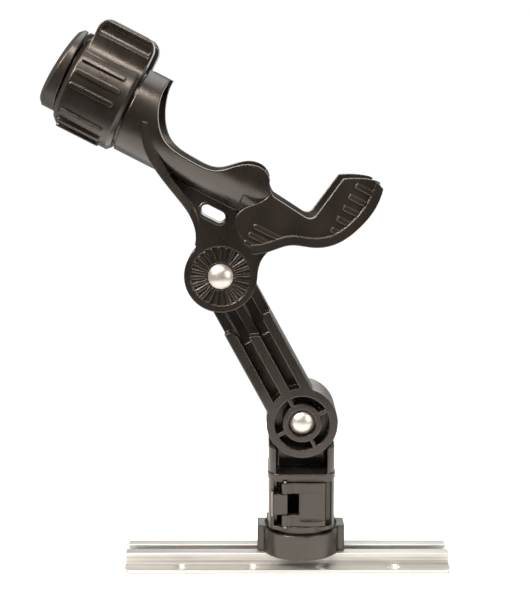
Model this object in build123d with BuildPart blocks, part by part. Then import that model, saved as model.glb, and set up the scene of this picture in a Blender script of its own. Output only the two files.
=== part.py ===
from build123d import *
import math
import os

# Kayak rod holder on a slotted aluminium track.
# Millimetres. +Z is up, +X runs along the track, -Y is the side the bolt heads show on.
# The origin is the centre of the underside of the track.

os.makedirs("parts", exist_ok=True)

# ---- track ----
track_length = 203.2
track_width = 44.45
flange_thickness = 2.4
channel_width = 23.0
track_height = 9.3
slot_width = 7.0
cavity_width = 17.5
cavity_floor = 2.0
cavity_top = 7.0
hole_spacing = 44.45
hole_line = 16.9
hole_radius = 2.6

# ---- base and post ----
post_x = 8.6
socket_radius = 24.7
socket_bore = 19.6
socket_top = 25.0
socket_floor = 14.0
tab_reach = 27.4
tab_top = 26.2
screw_offset = 13.0
spigot_radius = 19.2
collar_radius = 21.6
post_width = 41.0
post_depth = 40.0
body_bottom = 30.0
ledge_bottom = 60.0
ledge_top = 63.5
cheek_top = 80.0
cheek_wall = 4.6
pin_x = -1.6
pin_y = -20.4
pin_radius = 1.0
pocket_bottom = 30.0
pocket_top = 58.6

# ---- joints ----
lower_z = 94.7
lug_radius = 21.8
lug_depth = 16.0
arm_length = 104.0
arm_lean = 28.3
hub_depth = 16.5
hub_radius = 21.9
teeth = 24
bolt_radius = 3.1
head_radius = 7.55

# ---- cradle ----
cradle_tilt = 27.0
cradle_y = -14.0
lug_half = 6.0
tube_b = 65.8
tube_radius = 27.0
trough_bore = 23.0
stub_radius = 24.0
stub_bore = 20.6
stub_nose = 22.6
tube_start = -90.1
stub_end = -130.6
slot_half = 12.0
panel_half = 26.0
fork_half = 22.4
rim_half = 28.0

lean = math.radians(arm_lean)
tilt = math.radians(cradle_tilt)
upper_x = post_x + 0.2 - arm_length * math.sin(lean)
upper_z = lower_z + arm_length * math.cos(lean)
lower_x = post_x + 0.2

a_dir = Vector(math.cos(tilt), 0, -math.sin(tilt))
b_dir = Vector(math.sin(tilt), 0, math.cos(tilt))


def cradle_point(a, b, y=0.0):
    """A point a along the tube, b up from the upper joint, at world Y."""
    return Vector(upper_x, y, upper_z) + a_dir * a + b_dir * b


def side_plane(y):
    """Side view of the cradle at world Y: x is a, y is b, normal is -Y."""
    return Plane(origin=cradle_point(0, 0, y), x_dir=a_dir, z_dir=(0, -1, 0))


def cross_plane(a):
    """Cross-section of the cradle at a: x is -Y, y is b, normal points down the tube."""
    return Plane(origin=cradle_point(a, 0, cradle_y), x_dir=(0, -1, 0), z_dir=a_dir * -1)


def plan_plane(b):
    """Plan of the cradle at height b: x is a, normal is b."""
    return Plane(origin=cradle_point(0, b, cradle_y), x_dir=a_dir, z_dir=b_dir)


def arm_plane(y):
    """Side view of the arm at world Y: x runs across the arm, y up to the upper joint."""
    up = Vector(-math.sin(lean), 0, math.cos(lean))
    across = Vector(math.cos(lean), 0, math.sin(lean))
    return Plane(origin=(lower_x, y, lower_z), x_dir=across, z_dir=across.cross(up))


def joint_plane(x, y, z):
    """Face square to a joint bolt, normal -Y."""
    return Plane(origin=(x, y, z), x_dir=(1, 0, 0), z_dir=(0, -1, 0))


# ======================= track =======================
with BuildPart() as track_rail:
    with BuildSketch(Plane.XY):
        RectangleRounded(track_length, track_width, 5.5)
    extrude(amount=flange_thickness)
    with BuildSketch(Plane.XY):
        Rectangle(track_length, channel_width)
    extrude(amount=track_height)
    with BuildSketch(Plane.YZ.offset(-track_length / 2)):
        with Locations((0, (cavity_floor + cavity_top) / 2)):
            RectangleRounded(cavity_width, cavity_top - cavity_floor, 0.8)
        with Locations((0, track_height)):
            Rectangle(slot_width, 2 * (track_height - cavity_top) + 1.5)
    extrude(amount=track_length, mode=Mode.SUBTRACT)
    rail_edges = track_rail.edges().filter_by(Axis.X).filter_by_position(
        Axis.Z, track_height - 0.1, track_height + 0.1)
    chamfer(rail_edges, length=0.5)
    with Locations(Plane.XY.offset(flange_thickness)):
        with GridLocations(hole_spacing, 2 * hole_line, 4, 2):
            CounterSinkHole(radius=hole_radius, counter_sink_radius=4.6, counter_sink_angle=90)
track_rail.part.label = "track_rail"
export_step(track_rail.part, "parts/track_rail.step")

# ======================= base =======================
with BuildPart() as base_socket:
    with BuildSketch(Plane.XY.offset(track_height + 0.1)):
        with Locations((post_x, 0)):
            Circle(socket_radius)
    extrude(amount=socket_top - track_height - 0.1)
    with BuildSketch(Plane.XY.offset(track_height + 0.1)):
        with Locations((post_x, 0)):
            RectangleRounded(2 * tab_reach, 15, 1.2)
            Circle(22.4, mode=Mode.SUBTRACT)
    extrude(amount=tab_top - track_height - 0.1)
    fillet(base_socket.edges().group_by(Axis.Z)[-1], radius=0.5)
    with BuildSketch(Plane.XY.offset(socket_top)):
        with Locations((post_x, 0)):
            Circle(socket_bore)
    extrude(amount=-(socket_top - socket_floor), mode=Mode.SUBTRACT)
    rim = base_socket.edges().filter_by(GeomType.CIRCLE).filter_by_position(
        Axis.Z, socket_top - 0.05, socket_top + 0.05)
    chamfer(rim, length=0.4)
    with Locations(Plane.XY.offset(socket_floor)):
        with Locations((post_x - screw_offset, 0), (post_x + screw_offset, 0)):
            CounterBoreHole(radius=2.7, counter_bore_radius=4.9, counter_bore_depth=2.4)
        with Locations((post_x, 0)):
            Hole(radius=4.15)
    with BuildSketch(Plane.XY.offset(track_height)):
        with Locations((post_x, 0)):
            RegularPolygon(radius=6.5, side_count=6)
    extrude(amount=2.6, mode=Mode.SUBTRACT)
    # keys that drop into the track slot on both sides of the screws
    with BuildSketch(Plane.XY.offset(track_height + 0.2)):
        with Locations((post_x - 22.0, 0), (post_x + 22.0, 0)):
            RectangleRounded(4.0, slot_width - 0.5, 1.0)
    extrude(amount=-2.0)
base_socket.part.label = "base_socket"
export_step(base_socket.part, "parts/base_socket.step")

with BuildPart() as base_screws:
    for side in (-1, 1):
        with BuildSketch(Plane.XY.offset(socket_floor - 2.4)):
            with Locations((post_x + side * screw_offset, 0)):
                Circle(4.6)
        extrude(amount=2.2)
        with BuildSketch(Plane.XY.offset(socket_floor - 0.2)):
            with Locations((post_x + side * screw_offset, 0)):
                RegularPolygon(radius=1.9, side_count=6)
        extrude(amount=-1.5, mode=Mode.SUBTRACT)
        with BuildSketch(Plane.XY.offset(3.0)):
            with Locations((post_x + side * screw_offset, 0)):
                Circle(2.45)
        extrude(amount=socket_floor - 2.4 - 3.0)
base_screws.part.label = "base_screws"
export_step(base_screws.part, "parts/base_screws.step")

with BuildPart() as track_nuts:
    for side in (-1, 1):
        with BuildSketch(Plane.XY.offset(2.6)):
            with Locations((post_x + side * screw_offset, 0)):
                RectangleRounded(13.0, cavity_width - 1.0, 1.0)
        extrude(amount=cavity_top - 2.6 - 0.15)
        with BuildSketch(Plane.XY.offset(cavity_top - 0.2)):
            with Locations((post_x + side * screw_offset, 0)):
                RectangleRounded(12.0, slot_width - 0.6, 1.0)
        extrude(amount=1.6)
        with BuildSketch(Plane.XY.offset(2.6)):
            with Locations((post_x + side * screw_offset, 0)):
                Circle(2.5)
        extrude(amount=8.0, mode=Mode.SUBTRACT)
track_nuts.part.label = "track_nuts"
export_step(track_nuts.part, "parts/track_nuts.step")

with BuildPart() as swivel_bolt:
    with BuildSketch(Plane.XY.offset(track_height + 0.2)):
        with Locations((post_x, 0)):
            RegularPolygon(radius=6.3, side_count=6)
    extrude(amount=2.3)
    with BuildSketch(Plane.XY.offset(track_height + 2.0)):
        with Locations((post_x, 0)):
            Circle(4.05)
    extrude(amount=11.0)
    with BuildSketch(Plane.XY.offset(22.0)):
        with Locations((post_x, 0)):
            Circle(bolt_radius)
    extrude(amount=8.4)
swivel_bolt.part.label = "swivel_bolt"
export_step(swivel_bolt.part, "parts/swivel_bolt.step")

with BuildPart() as swivel_washer:
    with BuildSketch(Plane.XY.offset(22.6)):
        with Locations((post_x, 0)):
            Circle(9.0)
            Circle(bolt_radius + 0.1, mode=Mode.SUBTRACT)
    extrude(amount=1.4)
swivel_washer.part.label = "swivel_washer"
export_step(swivel_washer.part, "parts/swivel_washer.step")

with BuildPart() as swivel_nut:
    with BuildSketch(Plane.XY.offset(24.05)):
        with Locations((post_x, 0)):
            RegularPolygon(radius=6.4, side_count=6)
            Circle(bolt_radius + 0.02, mode=Mode.SUBTRACT)
    extrude(amount=5.4)
    chamfer(swivel_nut.edges().filter_by(GeomType.LINE).group_by(Axis.Z)[-1], length=0.5)
swivel_nut.part.label = "swivel_nut"
export_step(swivel_nut.part, "parts/swivel_nut.step")

# ======================= post =======================
with BuildPart() as post_housing:
    with BuildSketch(Plane.XY.offset(socket_floor + 0.35)):
        with Locations((post_x, 0)):
            Circle(spigot_radius)
    extrude(amount=socket_top - socket_floor)
    with BuildSketch(Plane.XY.offset(socket_top + 0.35)):
        with Locations((post_x, 0)):
            Circle(collar_radius)
    extrude(amount=body_bottom - socket_top)
    with BuildSketch(Plane.XY.offset(body_bottom - 2.4)):
        with Locations((post_x, 0)):
            RectangleRounded(post_width, post_depth, 8.0)
    extrude(amount=ledge_bottom - body_bottom + 3.4)
    # band around the post under the joint
    with BuildSketch(Plane.XY.offset(ledge_bottom)):
        with Locations((post_x, 0)):
            RectangleRounded(post_width + 0.9, post_depth + 1.0, 8.0)
    extrude(amount=ledge_top - ledge_bottom)
    # cheeks and the back of the post up to the joint
    with BuildSketch(Plane.XY.offset(ledge_top)):
        with Locations((post_x, 0)):
            RectangleRounded(post_width, post_depth, 8.0)
    extrude(amount=cheek_top - ledge_top)
    with BuildSketch(Plane.XZ.offset(0)):
        with Locations((lower_x, lower_z)):
            Circle(lug_radius)
        with Locations((lower_x, (lower_z + cheek_top) / 2)):
            Rectangle(post_width, lower_z - cheek_top + 4)
    extrude(amount=-lug_depth)
    # open front between the cheeks
    with BuildSketch(Plane.XY.offset(ledge_top)):
        with Locations((post_x, -14.0)):
            RectangleRounded(post_width - 2 * cheek_wall, 28.0 + 0.1, 3.0)
        with Locations((post_x, -24.0)):
            Rectangle(post_width - 2 * cheek_wall, 20.0)
    extrude(amount=40.0, mode=Mode.SUBTRACT)
    with BuildSketch(joint_plane(lower_x, 0.0, lower_z)):
        Circle(hub_radius + 0.6)
    extrude(amount=30.0, mode=Mode.SUBTRACT)
    # the corner above each cheek stays clear of the arm
    with BuildSketch(Plane.XZ):
        with Locations((lower_x, lower_z + 30 + lug_radius)):
            Rectangle(80, 60)
    extrude(amount=-lug_depth - 1, mode=Mode.SUBTRACT)
    # cored-out inside above the floor
    with BuildSketch(Plane.XY.offset(22.5)):
        with Locations((post_x, 0)):
            Circle(14.5)
    extrude(amount=6.0, mode=Mode.SUBTRACT)
    with BuildSketch(Plane.XY.offset(body_bottom - 2.0)):
        with Locations((post_x, 1.0)):
            RectangleRounded(post_width - 9.0, post_depth - 10.0, 4.0)
    extrude(amount=ledge_bottom - body_bottom + 1.0, mode=Mode.SUBTRACT)
    # latch window in the front
    with BuildSketch(Plane.XZ.offset(post_depth / 2 + 2)):
        with Locations((9.2, (pocket_bottom + pocket_top) / 2)):
            RectangleRounded(35.6, pocket_top - pocket_bottom, 1.2)
    extrude(amount=-9.0, mode=Mode.SUBTRACT)
    # hinge knuckle the latch pin runs through
    with BuildSketch(Plane.XY.offset(38.2)):
        with Locations((pin_x - 3.2, pin_y + 1.0)):
            RectangleRounded(9.6, 4.4, 1.0)
        with Locations((pin_x - 6.4, pin_y + 5.0)):
            Rectangle(5.0, 8.0)
    extrude(amount=13.0)
    with BuildSketch(Plane.XY.offset(pocket_bottom - 1)):
        with Locations((pin_x, pin_y)):
            Circle(pin_radius + 0.03)
    extrude(amount=pocket_top - pocket_bottom + 2.2, mode=Mode.SUBTRACT)
    # groove and hole for the latch spring
    with BuildSketch(Plane.XY.offset(36.9)):
        with Locations((-9.6, -21.0)):
            Rectangle(1.2, 1.7)
    extrude(amount=16.1, mode=Mode.SUBTRACT)
    with BuildSketch(Plane.XZ.offset(22.0)):
        with Locations((-9.6, 52.4)):
            Circle(0.53)
    extrude(amount=-7.5, mode=Mode.SUBTRACT)
    # bores for the swivel bolt and the joint bolt
    with BuildSketch(Plane.XY.offset(socket_floor)):
        with Locations((post_x, 0)):
            Circle(4.12)
    extrude(amount=12.0, mode=Mode.SUBTRACT)
    with BuildSketch(Plane.XZ):
        with Locations((lower_x, lower_z)):
            Circle(bolt_radius + 0.08)
    extrude(amount=-lug_depth - 1, mode=Mode.SUBTRACT)
    # ring of joint teeth set into the joint face
    with BuildSketch(Plane.XZ):
        with Locations((lower_x, lower_z)):
            Circle(18.6)
            Circle(8.0, mode=Mode.SUBTRACT)
    extrude(amount=-1.4, mode=Mode.SUBTRACT)
    with BuildSketch(Plane.XZ.offset(-1.5)):
        with Locations((lower_x, lower_z)):
            with PolarLocations(0, teeth):
                with Locations((13.3, 0)):
                    Trapezoid(10.4, 1.9, 88)
    extrude(amount=1.2)
post_housing.part.label = "post_housing"
export_step(post_housing.part, "parts/post_housing.step")

# ======================= latch =======================
with BuildPart() as latch_paddle:
    with BuildSketch(Plane.XY.offset(pocket_bottom + 0.5)):
        with BuildLine():
            Line((pin_x + 2.6, -17.6), (pin_x + 2.6, -20.6))
            ThreePointArc((pin_x + 2.6, -20.6), (12.0, -21.8), (23.2, -20.4))
            Line((23.2, -20.4), (23.2, -17.6))
            Line((23.2, -17.6), (pin_x + 2.6, -17.6))
        make_face()
    extrude(amount=pocket_top - pocket_bottom - 1.0)
    # eyes above and below the knuckle
    for low, high in ((pocket_bottom + 0.5, 37.8), (51.6, pocket_top - 0.5)):
        with BuildSketch(Plane.XY.offset(low)):
            with Locations((pin_x, pin_y)):
                Circle(2.2)
            with Locations((pin_x + 2.0, pin_y + 0.5)):
                Rectangle(4.0, 3.4)
        extrude(amount=high - low)
        with BuildSketch(Plane.XY.offset(low)):
            with Locations((pin_x, pin_y)):
                Circle(pin_radius + 0.03)
        extrude(amount=high - low, mode=Mode.SUBTRACT)
    # slot that clears the knuckle as the paddle opens
    with BuildSketch(Plane.XZ.offset(24)):
        with Locations((3.9, 44.7)):
            Rectangle(6.2, 13.8)
    extrude(amount=-12.0, mode=Mode.SUBTRACT)
    # dished thumb plate
    with BuildSketch(Plane.XY.offset(33.6)):
        with BuildLine():
            Line((7.4, -23.0), (7.4, -20.6))
            ThreePointArc((7.4, -20.6), (15.0, -19.7), (22.4, -20.2))
            Line((22.4, -20.2), (24.5, -20.2))
            Line((24.5, -20.2), (24.5, -23.0))
            Line((24.5, -23.0), (7.4, -23.0))
        make_face()
    extrude(amount=19.2, mode=Mode.SUBTRACT)
    # catch on the back of the paddle
    with BuildSketch(Plane.XY.offset(41.0)):
        with BuildLine():
            Polyline((15.0, -18.0), (22.0, -18.0), (22.0, -14.6), (20.4, -14.6), (19.4, -16.2),
                     (15.0, -16.2), (15.0, -18.0))
        make_face()
    extrude(amount=7.0)
latch_paddle.part.label = "latch_paddle"
export_step(latch_paddle.part, "parts/latch_paddle.step")

with BuildPart() as latch_pin:
    with BuildSketch(Plane.XY.offset(pocket_bottom - 0.8)):
        with Locations((pin_x, pin_y)):
            Circle(pin_radius)
    extrude(amount=pocket_top - pocket_bottom + 1.6)
latch_pin.part.label = "latch_pin"
export_step(latch_pin.part, "parts/latch_pin.step")

with BuildPart() as latch_spring:
    with BuildLine():
        Polyline((-9.6, -20.8, 37.0), (-9.6, -20.8, 52.4), (-9.6, -14.6, 52.4))
    with BuildSketch(Plane(origin=(-9.6, -20.8, 37.0), z_dir=(0, 0, 1))):
        Circle(0.5)
    sweep(transition=Transition.RIGHT)
latch_spring.part.label = "latch_spring"
export_step(latch_spring.part, "parts/latch_spring.step")

# ======================= arm =======================
with BuildPart() as arm:
    with BuildSketch(arm_plane(-0.3)):
        Circle(hub_radius)
        with Locations((0, 35.5)):
            Rectangle(31.2, 71.0)
    extrude(amount=hub_depth - 0.3)
    with BuildSketch(arm_plane(-0.3)):
        with Locations((0, arm_length)):
            Circle(lug_radius + 0.2)
        with Locations((0, 80)):
            Rectangle(31.2, 36.0)
    extrude(amount=7.7)
    fillet(arm.edges().filter_by(lambda e: e.geom_type == GeomType.LINE and e.length > 40), radius=0.8)
    # deep grooves on both sides of the centre rib
    with BuildSketch(arm_plane(-hub_depth)):
        for side in (-1, 1):
            with Locations((side * 6.2, 42.0)):
                RectangleRounded(6.4, 50.0, 1.5)
    extrude(amount=-12.0, mode=Mode.SUBTRACT)
    with BuildSketch(arm_plane(-8.0)):
        for side in (-1, 1):
            with Locations((side * 6.2, 71.0)):
                RectangleRounded(6.4, 26.0, 1.5)
    extrude(amount=-4.6, mode=Mode.SUBTRACT)
    # the ends of the flanges and of the rib are cut at a slant
    with BuildSketch(arm_plane(-8.0)):
        with BuildLine():
            Polyline((-17, 78.0), (-9.4, 67.0), (-9.4, 65.0), (-3.0, 63.0), (3.0, 60.5), (9.4, 62.0),
                     (9.4, 68.0), (17, 79.0), (17, 98), (-17, 98), (-17, 78.0))
        make_face()
    extrude(amount=10.0, mode=Mode.SUBTRACT)
    with BuildSketch(arm_plane(-hub_depth)):
        Circle(hub_radius)
    extrude(amount=-(hub_depth - 0.3))
    # spoked pockets around the bolt boss
    with BuildSketch(arm_plane(-hub_depth)):
        Circle(16.9)
        Circle(11.9, mode=Mode.SUBTRACT)
        Rectangle(2.1, 40, mode=Mode.SUBTRACT)
        Rectangle(40, 2.1, mode=Mode.SUBTRACT)
    extrude(amount=-11.0, mode=Mode.SUBTRACT)
    with BuildSketch(arm_plane(-hub_depth)):
        Circle(8.5)
    extrude(amount=-3.6, mode=Mode.SUBTRACT)
    with BuildSketch(arm_plane(-hub_depth)):
        Rectangle(6.6, 6.6)
    extrude(amount=-8.0, mode=Mode.SUBTRACT)
    with BuildSketch(arm_plane(-hub_depth)):
        Circle(bolt_radius + 0.1)
        with Locations((0, arm_length)):
            Circle(bolt_radius + 0.08)
    extrude(amount=-hub_depth, mode=Mode.SUBTRACT)
    # rings of joint teeth on the two joint faces
    with BuildSketch(arm_plane(-0.3)):
        Circle(18.6)
        Circle(8.0, mode=Mode.SUBTRACT)
    extrude(amount=1.4, mode=Mode.SUBTRACT)
    with BuildSketch(arm_plane(-1.8)):
        with PolarLocations(0, teeth):
            with Locations((13.3, 0)):
                Trapezoid(10.4, 1.9, 88)
    extrude(amount=-1.2)
    with BuildSketch(arm_plane(-8.0)):
        with Locations((0, arm_length)):
            Circle(18.6)
            Circle(8.0, mode=Mode.SUBTRACT)
    extrude(amount=-1.4, mode=Mode.SUBTRACT)
    with BuildSketch(arm_plane(-6.5)):
        with Locations((0, arm_length)):
            with PolarLocations(0, teeth):
                with Locations((13.3, 0)):
                    Trapezoid(10.4, 1.9, 88)
    extrude(amount=1.2)
arm.part.label = "arm"
export_step(arm.part, "parts/arm.step")


# ======================= clamping hardware =======================
def carriage_bolt(x, z, seat_y, shank_end, angle):
    """Round-headed bolt along +Y with a square neck under the head."""
    seat = Plane(origin=(x, seat_y, z), x_dir=(1, 0, 0), z_dir=(0, -1, 0))
    dome = 3.4
    sphere_radius = (head_radius ** 2 + dome ** 2) / (2 * dome)
    with BuildPart() as bolt:
        with BuildSketch(seat):
            Circle(head_radius)
        extrude(amount=0.9)
        with BuildSketch(Plane(origin=(x, seat_y - 0.9, z), x_dir=(1, 0, 0), z_dir=(0, 0, 1))):
            with BuildLine():
                Line((0, 0), (head_radius, 0))
                RadiusArc((head_radius, 0), (0, -dome), sphere_radius)
                Line((0, -dome), (0, 0))
            make_face()
        revolve(axis=Axis((x, 0, z), (0, 1, 0)))
        with BuildSketch(seat):
            Rectangle(6.4, 6.4, rotation=angle)
        extrude(amount=-4.0)
        with BuildSketch(seat):
            Circle(bolt_radius)
        extrude(amount=-(shank_end - seat_y))
        chamfer(bolt.edges().group_by(Axis.Y)[-1], length=0.6)
    return bolt.part


def flat_washer(x, z, y):
    """Plain washer whose near face is at Y."""
    with BuildPart() as washer:
        with BuildSketch(Plane(origin=(x, y, z), x_dir=(1, 0, 0), z_dir=(0, 1, 0))):
            Circle(9.2)
            Circle(bolt_radius + 0.25, mode=Mode.SUBTRACT)
        extrude(amount=1.6)
    return washer.part


def clamping_knob(x, z, y):
    """Six-lobed hand knob with its hub face at Y, opening towards -Y."""
    face = Plane(origin=(x, y, z), x_dir=(1, 0, 0), z_dir=(0, 1, 0))
    with BuildPart() as knob:
        with BuildSketch(face):
            Circle(10.0)
        extrude(amount=6.0)
        with BuildSketch(face.offset(3.5)):
            Circle(14.0)
            with PolarLocations(13.0, 6):
                Circle(4.2)
            with PolarLocations(18.6, 6, start_angle=30):
                Circle(4.6, mode=Mode.SUBTRACT)
        extrude(amount=13.5)
        fillet(knob.edges().group_by(Axis.Y)[-1], radius=1.6)
        with BuildSketch(face):
            Circle(5.0)
        extrude(amount=12.5, mode=Mode.SUBTRACT)
    return knob.part


def threaded_insert(x, z, y):
    """Brass insert moulded into a knob."""
    face = Plane(origin=(x, y, z), x_dir=(1, 0, 0), z_dir=(0, 1, 0))
    with BuildPart() as insert:
        with BuildSketch(face.offset(0.2)):
            Circle(5.0)
            Circle(bolt_radius + 0.08, mode=Mode.SUBTRACT)
        extrude(amount=12.2)
        for groove in (3.5, 7.5):
            with BuildSketch(face.offset(groove)):
                Circle(5.2)
                Circle(4.5, mode=Mode.SUBTRACT)
            extrude(amount=1.2, mode=Mode.SUBTRACT)
    return insert.part


lower_bolt = carriage_bolt(lower_x, lower_z, -hub_depth + 3.6, 29.0, arm_lean)
lower_bolt.label = "lower_bolt"
export_step(lower_bolt, "parts/lower_bolt.step")
lower_washer = flat_washer(lower_x, lower_z, lug_depth + 0.15)
lower_washer.label = "lower_washer"
export_step(lower_washer, "parts/lower_washer.step")
lower_knob = clamping_knob(lower_x, lower_z, lug_depth + 1.9)
lower_knob.label = "lower_knob"
export_step(lower_knob, "parts/lower_knob.step")
lower_insert = threaded_insert(lower_x, lower_z, lug_depth + 1.9)
lower_insert.label = "lower_insert"
export_step(lower_insert, "parts/lower_insert.step")

upper_bolt = carriage_bolt(upper_x, upper_z, cradle_y - lug_half, 13.2, -cradle_tilt)
upper_bolt.label = "upper_bolt"
export_step(upper_bolt, "parts/upper_bolt.step")
upper_washer = flat_washer(upper_x, upper_z, -0.15)
upper_washer.label = "upper_washer"
export_step(upper_washer, "parts/upper_washer.step")
upper_knob = clamping_knob(upper_x, upper_z, 1.6)
upper_knob.label = "upper_knob"
export_step(upper_knob, "parts/upper_knob.step")
upper_insert = threaded_insert(upper_x, upper_z, 1.6)
upper_insert.label = "upper_insert"
export_step(upper_insert, "parts/upper_insert.step")

# ======================= cradle =======================
rim_outer = [(9.7, 22.7), (18.2, 29.0), (27.0, 37.4), (39.4, 42.2), (49.9, 49.7), (58.1, 65.0),
             (60.9, 80.0), (59.6, 90.5)]
rim_inner = [(6.6, 27.2), (15.2, 33.6), (24.6, 42.2), (37.4, 47.2), (45.8, 53.4), (52.9, 66.6),
             (55.4, 80.4), (54.3, 92.6)]
rim_middle = [((p[0] + q[0]) / 2, (p[1] + q[1]) / 2) for p, q in zip(rim_outer, rim_inner)]

# flange along the left edge of the web, widening up to the tube
with BuildPart() as web_flange:
    with BuildSketch(side_plane(cradle_y + rim_half)):
        with BuildLine():
            Spline((-79.6, 62.2), (-72.2, 48.4), (-60.0, 39.2), (-46.5, 32.0), (-31.6, 23.4),
                   (-25.8, 17.6), (-22.1, 9.6))
            Line((-22.1, 9.6), (-20.6, 10.0))
            Spline((-20.6, 10.0), (-24.0, 19.6), (-29.4, 27.0), (-44.4, 36.2), (-57.4, 43.6),
                   (-68.0, 51.8), (-74.9, 63.4))
            Line((-74.9, 63.4), (-79.6, 62.2))
        make_face()
    extrude(amount=2 * rim_half)
    with BuildSketch(plan_plane(0.0)):
        with BuildLine():
            Polyline((-90, 30), (-80, 28.2), (-66, 23.0), (-33, lug_half + 1.2), (-18, lug_half - 0.9),
                     (-18, 40), (-90, 40), (-90, 30))
        make_face()
        mirror(about=Plane.XZ)
    extrude(amount=65.0, mode=Mode.SUBTRACT)

with BuildPart() as cradle:
    # outside of the tube and trough
    with BuildSketch(cross_plane(26.0)):
        with Locations((0, tube_b)):
            Circle(tube_radius)
    extrude(amount=26.0 - tube_start)
    # flat side panels of the fork
    with BuildSketch(side_plane(cradle_y + panel_half)):
        with BuildLine():
            Line((3.0, 100), (3.0, 62.0))
            Spline((3.0, 62.0), (0.6, 52.0), (-6.2, 44.2), (-8.3, 37.6), (-4.8, 31.6), (1.4, 27.8),
                   rim_middle[0])
            Spline(*rim_middle)
            Line(rim_middle[-1], (54.3, 100))
            Line((54.3, 100), (3.0, 100))
        make_face()
    extrude(amount=2 * panel_half)
    # hollow between the panels, under the trough
    with BuildSketch(cross_plane(70.0)):
        with BuildLine():
            Line((-fork_half, -20), (fork_half, -20))
            Line((fork_half, -20), (fork_half, tube_b - 13.2))
            ThreePointArc((fork_half, tube_b - 13.2), (0, tube_b - 26.0),
                          (-fork_half, tube_b - 13.2))
            Line((-fork_half, tube_b - 13.2), (-fork_half, -20))
        make_face()
    extrude(amount=80.0, mode=Mode.SUBTRACT)
    # rim along the underside and the end of the fork
    with BuildSketch(side_plane(cradle_y + rim_half)):
        with BuildLine():
            Spline(*rim_outer)
            Line(rim_outer[-1], rim_inner[-1])
            Spline(*rim_inner)
            Line(rim_inner[0], rim_outer[0])
        make_face()
    extrude(amount=2 * rim_half)
    # reduced end the locking collar turns on
    with BuildSketch(cross_plane(tube_start + 1)):
        with Locations((0, tube_b)):
            Circle(stub_radius)
    extrude(amount=tube_start - stub_end + 1)
    with BuildSketch(cross_plane(stub_end + 1)):
        with Locations((0, tube_b)):
            Circle(stub_nose)
    extrude(amount=4.2)
    # web and lug
    with BuildSketch(side_plane(cradle_y + lug_half - 0.3)):
        with BuildLine():
            Line((-58.0, 41.6), (-45.8, 33.6))
            Line((-45.8, 33.6), (-31.0, 24.6))
            Spline((-31.0, 24.6), (-25.2, 18.6), (-21.5, 10.4), (-21.5, -3.0))
            Line((-21.5, -3.0), (21.5, -3.0))
            Spline((21.5, -3.0), (19.6, 9.6), (17.4, 17.8), (18.3, 25.2), (21.4, 30.8), (26.2, 36.0))
            Line((26.2, 36.0), (26.2, 40.6))
            Line((26.2, 40.6), (-56.4, 40.6))
            Line((-56.4, 40.6), (-58.0, 41.6))
        make_face()
        Circle(lug_radius + 0.1)
    extrude(amount=2 * lug_half - 0.3)
    add(web_flange.part)
    # leash slot with a raised edge
    for face in (cradle_y - lug_half - 0.4, cradle_y + lug_half + 0.4 - 1.4):
        with BuildSketch(side_plane(face)):
            with Locations((-20.9, 31.5)):
                SlotOverall(18.3, 9.8)
        extrude(amount=-1.4)
    with BuildSketch(side_plane(cradle_y)):
        with Locations((-20.9, 31.5)):
            SlotOverall(15.5, 7.0)
    extrude(amount=20.0, both=True, mode=Mode.SUBTRACT)
    # grip ribs and ladder ribs on both panels
    for side in (-1, 1):
        with BuildSketch(side_plane(cradle_y + side * (panel_half - 0.5))):
            with Locations((12.0, 38.0)):
                SlotOverall(17.5, 2.6)
            with Locations((9.3, 32.6)):
                SlotOverall(13.5, 2.6)
            with Locations((7.0, 27.2)):
                SlotOverall(9.5, 2.6)
            with Locations((46.5, 56.4)):
                Rectangle(5.0, 2.8)
            with Locations((48.3, 63.6)):
                Rectangle(8.4, 2.8)
            with Locations((49.2, 70.8)):
                Rectangle(9.6, 2.8)
            with Locations((49.6, 78.0)):
                Rectangle(10.4, 2.8)
            with Locations((50.0, 85.2)):
                Rectangle(10.0, 2.8)
        extrude(amount=-side * 2.1)
    # bore of the tube, the trough and the open fork
    with BuildSketch(cross_plane(tube_start + 6)):
        with Locations((0, tube_b)):
            Circle(stub_bore)
    extrude(amount=60.0, mode=Mode.SUBTRACT)
    with BuildSketch(cross_plane(-4.0)):
        with Locations((0, tube_b)):
            Circle(trough_bore)
    extrude(amount=-4.0 - tube_start - 6.0, mode=Mode.SUBTRACT)
    with BuildSketch(cross_plane(85.0)):
        with Locations((0, tube_b)):
            Circle(fork_half)
        with Locations((0, tube_b + 30)):
            Rectangle(2 * fork_half, 60)
    extrude(amount=90.0, mode=Mode.SUBTRACT)
    with BuildSketch(cross_plane(85.0)):
        with Locations((0, tube_b + 30)):
            Rectangle(2 * slot_half, 60)
    extrude(amount=225.0, mode=Mode.SUBTRACT)
    # reel cut-out, saddle, notch and horns
    with BuildSketch(side_plane(cradle_y + 40)):
        with BuildLine():
            Line((-77.1, 140), (-77.1, 91.2))
            Spline((-77.1, 91.2), (-73.8, 69.4), (-63.6, 57.6), (-46.1, 54.3), (-30.8, 55.8),
                   (-15.9, 67.6), (-7.0, 69.2), (-0.4, 65.5))
            Spline((-0.4, 65.5), (1.6, 61.4), (6.0, 57.8))
            Line((6.0, 57.8), (27.5, 55.6))
            Spline((27.5, 55.6), (31.2, 56.8), (32.8, 60.4))
            Line((32.8, 60.4), (36.9, 85.2))
            Spline((36.9, 85.2), (45.5, 89.9), (54.3, 92.9))
            Polyline((54.3, 92.9), (70, 92.9), (70, 140), (-77.1, 140))
        make_face()
    extrude(amount=80.0, mode=Mode.SUBTRACT)
    # radial serrations on the lug around the bolt head
    with BuildSketch(side_plane(cradle_y - lug_half)):
        Circle(18.0)
        Circle(8.4, mode=Mode.SUBTRACT)
    extrude(amount=-1.0, mode=Mode.SUBTRACT)
    with BuildSketch(side_plane(cradle_y - lug_half + 1.1)):
        with PolarLocations(0, teeth):
            with Locations((13.0, 0)):
                Trapezoid(9.4, 1.9, 86)
    extrude(amount=1.3)
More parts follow.
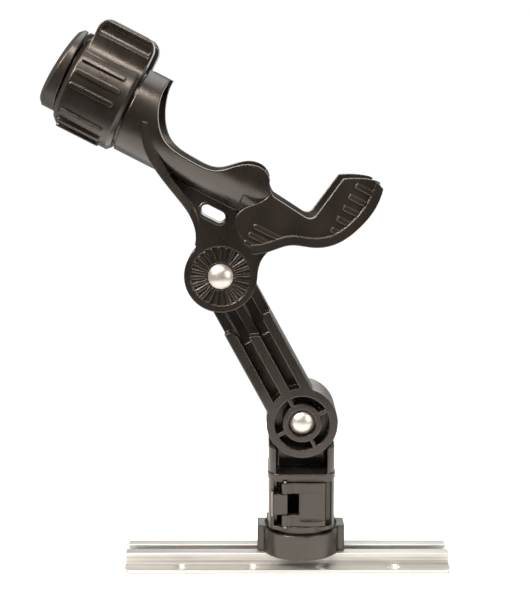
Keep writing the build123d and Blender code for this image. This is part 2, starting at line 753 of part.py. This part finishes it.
    # joint face recess and bolt hole
    with BuildSketch(side_plane(cradle_y + lug_half - 0.3)):
        Circle(18.6)
        Circle(8.0, mode=Mode.SUBTRACT)
    extrude(amount=1.4, mode=Mode.SUBTRACT)
    with BuildSketch(side_plane(cradle_y + lug_half - 1.8)):
        with PolarLocations(0, teeth):
            with Locations((13.3, 0)):
                Trapezoid(10.4, 1.9, 88)
    extrude(amount=-1.2)
    with BuildSketch(side_plane(cradle_y - lug_half)):
        Rectangle(6.6, 6.6)
    extrude(amount=-4.4, mode=Mode.SUBTRACT)
    with BuildSketch(side_plane(cradle_y - lug_half)):
        Circle(bolt_radius + 0.1)
    extrude(amount=-2 * lug_half, mode=Mode.SUBTRACT)
cradle.part.label = "cradle"
export_step(cradle.part, "parts/cradle.step")

# ======================= end cap =======================
with BuildPart() as end_cap:
    with BuildSketch(cross_plane(stub_end - 0.3)):
        with Locations((0, tube_b + 3.4)):
            Circle(26.6)
    extrude(amount=13.0)
    with BuildSketch(side_plane(cradle_y)):
        with BuildLine():
            Polyline((-141.4, 41.0), (-134.9, 99.0), (-160, 99), (-160, 41), (-141.4, 41.0))
        make_face()
    extrude(amount=40.0, both=True, mode=Mode.SUBTRACT)
    chamfer(end_cap.faces().sort_by(Axis(cradle_point(0, 0), a_dir))[0].edges(), length=2.4)
    with BuildSketch(cross_plane(stub_end + 5)):
        with Locations((0, tube_b)):
            Circle(stub_bore)
        with Locations((0, tube_b + 40)):
            Rectangle(2 * slot_half, 80)
    extrude(amount=40.0, mode=Mode.SUBTRACT)
    with BuildSketch(cross_plane(stub_end - 0.3)):
        with Locations((0, tube_b)):
            Circle(stub_nose + 0.02)
    extrude(amount=3.2, mode=Mode.SUBTRACT)
end_cap.part.label = "end_cap"
export_step(end_cap.part, "parts/end_cap.step")

# ======================= locking collar =======================
collar_axis = Axis(cradle_point(0, tube_b, cradle_y), a_dir)
collar_left = stub_end + 1.2
collar_right = tube_start - 1.8
collar_length = collar_right - collar_left
collar_mid = (collar_left + collar_right) / 2

# hollow for the thumb along the outside of each ear, inside a narrow rim
with BuildPart() as ear_recess:
    with BuildSketch(cross_plane(collar_right)):
        for side in (-1, 1):
            with Locations((side * 23.2, tube_b + 33.0)):
                Circle(4.9)
    extrude(amount=collar_length)
    with BuildSketch(side_plane(cradle_y + 40)):
        with Locations((collar_mid + 1.6, tube_b + 19.7)):
            RectangleRounded(collar_length - 6.4, 36.8, 5.9)
    extrude(amount=80.0, mode=Mode.INTERSECT)

with BuildPart() as collar:
    # thumb ears on both edges of the slot
    with BuildSketch(cross_plane(collar_right)):
        with BuildLine():
            Line((slot_half, tube_b + 24.0), (slot_half, tube_b + 36.2))
            ThreePointArc((slot_half, tube_b + 36.2), (14.0, tube_b + 39.0), (17.6, tube_b + 39.6))
            ThreePointArc((17.6, tube_b + 39.6), (19.7, tube_b + 38.9), (20.4, tube_b + 36.9))
            Line((20.4, tube_b + 36.9), (20.2, tube_b + 27.5))
            ThreePointArc((20.2, tube_b + 27.5), (21.0, tube_b + 22.0), (23.6, tube_b + 17.0))
            Line((23.6, tube_b + 17.0), (slot_half, tube_b + 24.0))
        make_face()
        mirror(about=Plane.YZ)
    extrude(amount=collar_length)
    with BuildSketch(side_plane(cradle_y + 40)):
        with Locations((collar_mid + 1.6, tube_b + 19.7)):
            RectangleRounded(collar_length - 3.2, 40.0, 7.5)
    extrude(amount=80.0, mode=Mode.INTERSECT)
    add(ear_recess.part, mode=Mode.SUBTRACT)
    # barrel
    with BuildSketch(side_plane(cradle_y)):
        with BuildLine():
            Polyline((collar_left, tube_b + 24.35), (collar_left, tube_b + 26.4),
                     (collar_left + 2.6, tube_b + 28.8), (collar_right - 2.4, tube_b + 29.4),
                     (collar_right, tube_b + 27.0), (collar_right, tube_b + 24.35),
                     (collar_left, tube_b + 24.35))
        make_face()
    revolve(axis=collar_axis)
    # two groups of three grip ribs on each side
    for centre in (9.7, -57.0, 170.3, 237.0):
        for step in (-16, 0, 16):
            angle = math.radians(centre + step)
            out = Vector(0, -math.cos(angle), 0) + b_dir * math.sin(angle)
            middle = cradle_point(collar_mid - 1.6, tube_b, cradle_y) + out * 28.0
            with BuildSketch(Plane(origin=middle, x_dir=a_dir, z_dir=out)):
                SlotOverall(27.0, 2.7)
            extrude(amount=2.7)
    with BuildSketch(cross_plane(collar_right + 1)):
        with Locations((0, tube_b + 30)):
            Rectangle(2 * slot_half, 60)
        with Locations((0, tube_b)):
            Circle(24.35)
    extrude(amount=collar_length + 2, mode=Mode.SUBTRACT)
collar.part.label = "collar"
export_step(collar.part, "parts/collar.step")
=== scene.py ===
import bpy
import math
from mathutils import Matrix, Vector

MM = 0.001

# radius that the edges of moulded and of metal pieces are shaded with
MOULDED_EDGE = 1.0 * MM
METAL_EDGE = 0.3 * MM

# heights of the surface detail
GRAIN_HEIGHT = 0.05 * MM
WAVE_HEIGHT = 2.2 * MM
LINE_HEIGHT = 0.08 * MM
SPECKLE_HEIGHT = 0.06 * MM

# noise stretched along X, which is the way the track was extruded
ALONG_TRACK = (0.012, 1.0, 1.0)
FAR_ALONG_TRACK = (0.006, 1.0, 1.0)

# studio
FLOOR_RADIUS = 340 * MM
FLOOR_LEVEL = -0.6 * MM
FLOOR_CORNERS = 96
FLOOR_GLOW = 0.33
ROOM_WHITE = 1.02
LIGHT_TARGET = (0, 0, 170 * MM)

# camera
CAMERA_PLACE = (-14.0 * MM, -711.4 * MM, 284.0 * MM)
CAMERA_PITCH = math.radians(9.2)
CAMERA_LENS = 70.1
SENSOR_WIDTH = 36.0
NEAREST = 50 * MM
FARTHEST = 50.0

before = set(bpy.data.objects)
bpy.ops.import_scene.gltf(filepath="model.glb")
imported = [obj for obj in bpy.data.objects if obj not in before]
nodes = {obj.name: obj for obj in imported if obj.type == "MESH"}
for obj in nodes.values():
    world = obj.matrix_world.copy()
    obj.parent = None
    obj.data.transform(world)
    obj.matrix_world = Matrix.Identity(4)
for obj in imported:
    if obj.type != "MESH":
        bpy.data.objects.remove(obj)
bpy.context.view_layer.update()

# ---------------------------------------------------------------- materials


def new_material(name):
    """A material with one principled shader; gives back the material, its tree and the shader."""
    mat = bpy.data.materials.new(name)
    mat.use_nodes = True
    tree = mat.node_tree
    tree.nodes.clear()
    out = tree.nodes.new("ShaderNodeOutputMaterial")
    shader = tree.nodes.new("ShaderNodeBsdfPrincipled")
    tree.links.new(shader.outputs["BSDF"], out.inputs["Surface"])
    return mat, tree, shader


def object_coords(tree):
    return tree.nodes.new("ShaderNodeTexCoord").outputs["Object"]


def noise(tree, coords, scale, detail=2.0, rough=0.5, stretch=None):
    """Noise with the given number of features to a metre."""
    node = tree.nodes.new("ShaderNodeTexNoise")
    node.inputs["Scale"].default_value = scale
    node.inputs["Detail"].default_value = detail
    node.inputs["Roughness"].default_value = rough
    if stretch:
        mapping = tree.nodes.new("ShaderNodeMapping")
        mapping.inputs["Scale"].default_value = stretch
        tree.links.new(coords, mapping.inputs["Vector"])
        coords = mapping.outputs["Vector"]
    tree.links.new(coords, node.inputs["Vector"])
    return node.outputs["Fac"]


def ramp(tree, value, stops):
    """Turns a value into a colour; stops are (position, colour)."""
    node = tree.nodes.new("ShaderNodeValToRGB")
    elements = node.color_ramp.elements
    while len(elements) < len(stops):
        elements.new(0.5)
    for element, (position, colour) in zip(elements, stops):
        element.position = position
        element.color = (*colour, 1.0)
    tree.links.new(value, node.inputs["Fac"])
    return node.outputs["Color"]


def grey(level):
    return (level, level, level)


def bump(tree, shader, heights, edge):
    """Rounded edges of the given radius, then heights: (value socket, strength, distance in metres)."""
    rounded = tree.nodes.new("ShaderNodeBevel")
    rounded.samples = 8
    rounded.inputs["Radius"].default_value = edge
    last = rounded.outputs["Normal"]
    for value, strength, distance in heights:
        node = tree.nodes.new("ShaderNodeBump")
        node.inputs["Strength"].default_value = strength
        node.inputs["Distance"].default_value = distance
        tree.links.new(value, node.inputs["Height"])
        tree.links.new(last, node.inputs["Normal"])
        last = node.outputs["Normal"]
    tree.links.new(last, shader.inputs["Normal"])


def nylon(name, dark, light, rough_low, rough_high, grain=0.6):
    """Moulded black nylon: mottled tone, uneven gloss, a fine grain over soft waves."""
    mat, tree, shader = new_material(name)
    coords = object_coords(tree)
    broad = noise(tree, coords, 34.0, 4.0, 0.6)
    fine = noise(tree, coords, 1500.0, 3.0, 0.6)
    flow = noise(tree, coords, 60.0, 3.0, 0.55, (1.0, 1.0, 0.3))
    waves = noise(tree, coords, 16.0, 1.0, 0.4)
    tone = ramp(tree, broad, [(0.32, dark), (0.7, light)])
    gloss = ramp(tree, flow, [(0.3, grey(rough_low)), (0.72, grey(rough_high))])
    tree.links.new(tone, shader.inputs["Base Color"])
    tree.links.new(gloss, shader.inputs["Roughness"])
    shader.inputs["Specular IOR Level"].default_value = 0.66
    shader.inputs["Specular Tint"].default_value = (1.0, 0.93, 0.87, 1.0)
    shader.inputs["IOR"].default_value = 1.53
    bump(tree, shader, [(fine, grain, GRAIN_HEIGHT), (waves, 0.35, WAVE_HEIGHT)], MOULDED_EDGE)
    return mat


def anodised(name):
    """Extruded aluminium: long fine lines along X in tone, gloss and height."""
    mat, tree, shader = new_material(name)
    coords = object_coords(tree)
    lines = noise(tree, coords, 900.0, 4.0, 0.65, ALONG_TRACK)
    patch = noise(tree, coords, 22.0, 3.0, 0.55)
    streaks = noise(tree, coords, 620.0, 3.0, 0.7, FAR_ALONG_TRACK)
    cloudy = ramp(tree, patch, [(0.3, (0.54, 0.535, 0.515)), (0.75, (0.60, 0.595, 0.575))])
    lined = ramp(tree, streaks, [(0.36, grey(0.66)), (0.55, grey(1.0))])
    gloss = ramp(tree, lines, [(0.3, grey(0.42)), (0.7, grey(0.54))])
    tone = tree.nodes.new("ShaderNodeMix")
    tone.data_type = "RGBA"
    tone.blend_type = "MULTIPLY"
    tone.inputs["Factor"].default_value = 1.0
    tree.links.new(cloudy, tone.inputs["A"])
    tree.links.new(lined, tone.inputs["B"])
    tree.links.new(tone.outputs["Result"], shader.inputs["Base Color"])
    tree.links.new(gloss, shader.inputs["Roughness"])
    shader.inputs["Metallic"].default_value = 0.82
    bump(tree, shader, [(lines, 0.22, LINE_HEIGHT)], METAL_EDGE)
    return mat


def steel(name, tint, rough_low, rough_high, grain, metallic=1.0):
    """Plated metal with a faint speckle."""
    mat, tree, shader = new_material(name)
    coords = object_coords(tree)
    spots = noise(tree, coords, 700.0, 4.0, 0.6)
    wide = noise(tree, coords, 160.0, 2.0, 0.5)
    darker = tuple(c * 0.86 for c in tint)
    tone = ramp(tree, wide, [(0.3, darker), (0.7, tint)])
    gloss = ramp(tree, spots, [(0.3, grey(rough_low)), (0.75, grey(rough_high))])
    tree.links.new(tone, shader.inputs["Base Color"])
    tree.links.new(gloss, shader.inputs["Roughness"])
    shader.inputs["Metallic"].default_value = metallic
    bump(tree, shader, [(spots, grain, SPECKLE_HEIGHT)], METAL_EDGE)
    return mat


black = nylon("black_nylon_look", (0.0065, 0.0050, 0.0040), (0.0140, 0.0110, 0.0088), 0.22, 0.34)
grey_black = nylon("grey_nylon_look", (0.0100, 0.0082, 0.0068), (0.0185, 0.0152, 0.0128), 0.27, 0.38)
knob_black = nylon("knob_nylon_look", (0.0090, 0.0074, 0.0062), (0.0150, 0.0124, 0.0104), 0.40, 0.52, 0.7)
aluminium = anodised("aluminium_look")
bolt_steel = steel("bolt_steel_look", (0.60, 0.57, 0.53), 0.30, 0.44, 0.22, 0.80)
wire_steel = steel("wire_steel_look", (0.30, 0.27, 0.23), 0.26, 0.36, 0.08)
brass_look = steel("brass_look", (0.78, 0.58, 0.28), 0.22, 0.36, 0.12)

looks = {
    "track_rail": aluminium,
    "base_socket": black,
    "post_housing": black,
    "latch_paddle": grey_black,
    "arm": black,
    "cradle": black,
    "collar": black,
    "end_cap": grey_black,
    "lower_knob": knob_black,
    "upper_knob": knob_black,
    "lower_bolt": bolt_steel,
    "upper_bolt": bolt_steel,
    "lower_washer": bolt_steel,
    "upper_washer": bolt_steel,
    "base_screws": bolt_steel,
    "track_nuts": bolt_steel,
    "swivel_bolt": bolt_steel,
    "swivel_washer": bolt_steel,
    "swivel_nut": bolt_steel,
    "latch_pin": wire_steel,
    "latch_spring": wire_steel,
    "lower_insert": brass_look,
    "upper_insert": brass_look,
}
for name, mat in looks.items():
    obj = nodes[name]
    if not obj.material_slots:
        obj.data.materials.append(mat)
    for slot in obj.material_slots:
        slot.material = mat

# ---------------------------------------------------------------- stage


def pale_floor():
    """A disc under the track, glowing a little so that it looks plain and pale."""
    mat, tree, shader = new_material("floor_look")
    mottle = noise(tree, object_coords(tree), 6.0, 2.0)
    pale = ramp(tree, mottle, [(0.3, grey(0.93)), (0.7, grey(0.955))])
    tree.links.new(pale, shader.inputs["Base Color"])
    shader.inputs["Roughness"].default_value = 0.9
    shader.inputs["Emission Color"].default_value = (1.0, 0.995, 0.985, 1.0)
    shader.inputs["Emission Strength"].default_value = FLOOR_GLOW
    rim = []
    for k in range(FLOOR_CORNERS):
        turn = math.tau * k / FLOOR_CORNERS
        rim.append((FLOOR_RADIUS * math.cos(turn), FLOOR_RADIUS * math.sin(turn), FLOOR_LEVEL))
    mesh = bpy.data.meshes.new("floor")
    mesh.from_pydata(rim, [], [tuple(range(FLOOR_CORNERS))])
    obj = bpy.data.objects.new("floor", mesh)
    bpy.context.scene.collection.objects.link(obj)
    obj.data.materials.append(mat)


def studio_room():
    """A room paler behind the object than in front of it, and plain white where the camera sees it."""
    world = bpy.data.worlds.new("studio")
    bpy.context.scene.world = world
    world.use_nodes = True
    tree = world.node_tree
    tree.nodes.clear()
    direction = tree.nodes.new("ShaderNodeTexCoord").outputs["Generated"]
    split = tree.nodes.new("ShaderNodeSeparateXYZ")
    tree.links.new(direction, split.inputs["Vector"])
    depth = tree.nodes.new("ShaderNodeMapRange")
    depth.inputs["From Min"].default_value = -1.0
    depth.inputs["From Max"].default_value = 1.0
    tree.links.new(split.outputs["Y"], depth.inputs["Value"])
    front_to_back = [
        (0.0, (0.085, 0.078, 0.071)),
        (0.35, (0.22, 0.205, 0.19)),
        (0.6, (0.52, 0.50, 0.475)),
        (1.0, (0.38, 0.375, 0.37)),
    ]
    soft_room = tree.nodes.new("ShaderNodeBackground")
    tree.links.new(ramp(tree, depth.outputs["Result"], front_to_back), soft_room.inputs["Color"])
    white_room = tree.nodes.new("ShaderNodeBackground")
    white_room.inputs["Strength"].default_value = ROOM_WHITE
    white_room.inputs["Color"].default_value = (1.0, 1.0, 1.0, 1.0)
    seen = tree.nodes.new("ShaderNodeLightPath")
    mix = tree.nodes.new("ShaderNodeMixShader")
    tree.links.new(seen.outputs["Is Camera Ray"], mix.inputs["Fac"])
    tree.links.new(soft_room.outputs["Background"], mix.inputs[1])
    tree.links.new(white_room.outputs["Background"], mix.inputs[2])
    out = tree.nodes.new("ShaderNodeOutputWorld")
    tree.links.new(mix.outputs["Shader"], out.inputs["Surface"])


def area_light(name, location, size, power, colour=(1, 1, 1)):
    """A soft rectangular light that points at the middle of the object."""
    data = bpy.data.lights.new(name, "AREA")
    data.shape = "RECTANGLE"
    data.size, data.size_y = size
    data.energy = power
    data.color = colour
    obj = bpy.data.objects.new(name, data)
    bpy.context.scene.collection.objects.link(obj)
    obj.location = location
    aim = Vector(LIGHT_TARGET) - Vector(location)
    obj.rotation_euler = aim.to_track_quat("-Z", "Y").to_euler()


pale_floor()
studio_room()
bpy.context.scene.view_settings.view_transform = "Standard"
area_light("key", (-0.75, -0.75, 0.95), (0.45, 0.45), 24, (1.0, 0.92, 0.84))
area_light("fill", (0.9, -0.8, 0.55), (0.35, 0.9), 10, (1.0, 0.93, 0.86))
area_light("top", (0.05, 0.15, 1.2), (0.8, 0.8), 6)
area_light("back", (0.25, 0.9, 0.5), (0.9, 0.6), 2)
area_light("front_strip", (-0.1, -0.62, 0.95), (0.5, 0.14), 5.5, (1.0, 0.91, 0.82))

# ---------------------------------------------------------------- camera

camera_data = bpy.data.cameras.new("camera")
camera = bpy.data.objects.new("camera", camera_data)
bpy.context.scene.collection.objects.link(camera)
bpy.context.scene.camera = camera
camera_data.sensor_width = SENSOR_WIDTH
camera_data.sensor_fit = "AUTO"
camera_data.lens = CAMERA_LENS
camera_data.clip_start = NEAREST
camera_data.clip_end = FARTHEST
camera.location = CAMERA_PLACE
camera.rotation_euler = (math.pi / 2 - CAMERA_PITCH, 0, 0)
